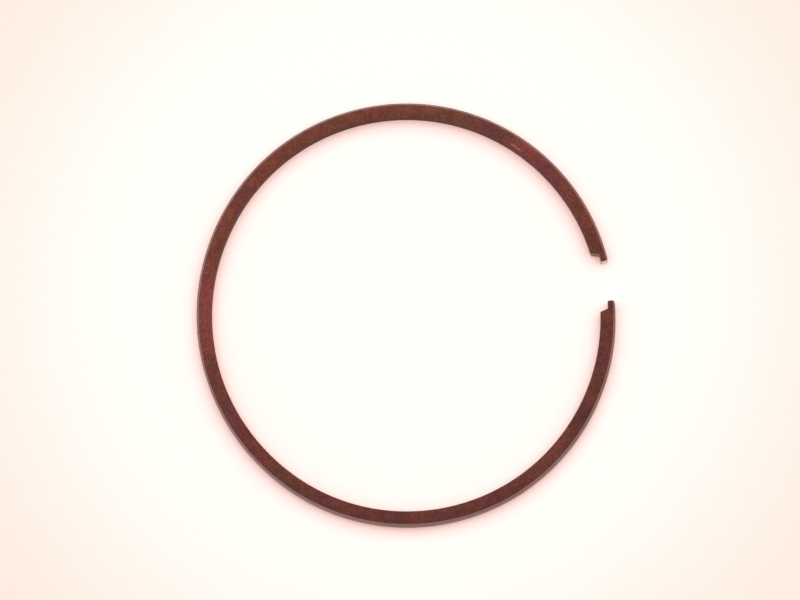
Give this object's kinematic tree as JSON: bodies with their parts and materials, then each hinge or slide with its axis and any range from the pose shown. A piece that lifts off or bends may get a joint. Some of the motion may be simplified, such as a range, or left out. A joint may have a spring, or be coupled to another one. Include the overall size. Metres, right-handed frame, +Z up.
{
  "type": "piston ring",
  "caption": "Split piston compression ring in its free state, with a rectangular section, bevelled running face and inner notches at its ends for a locating pin.",
  "frame": {"origin": "middle of the free ring, between its back and its tips, at the level of the lower side face", "axes": "+Z up through the ring's hole, from the lower side face to the upper one; +X from the back of the ring to the gap"},
  "size_m": [0.0666, 0.0688, 0.002],
  "materials": {
    "coated_iron": "reddish brown phosphate coat on the side faces and inner face, greyer ground running face and bevels"
  },
  "bodies": {
    "root": {"piston_ring": "coated_iron"}
  },
  "joints": []
}
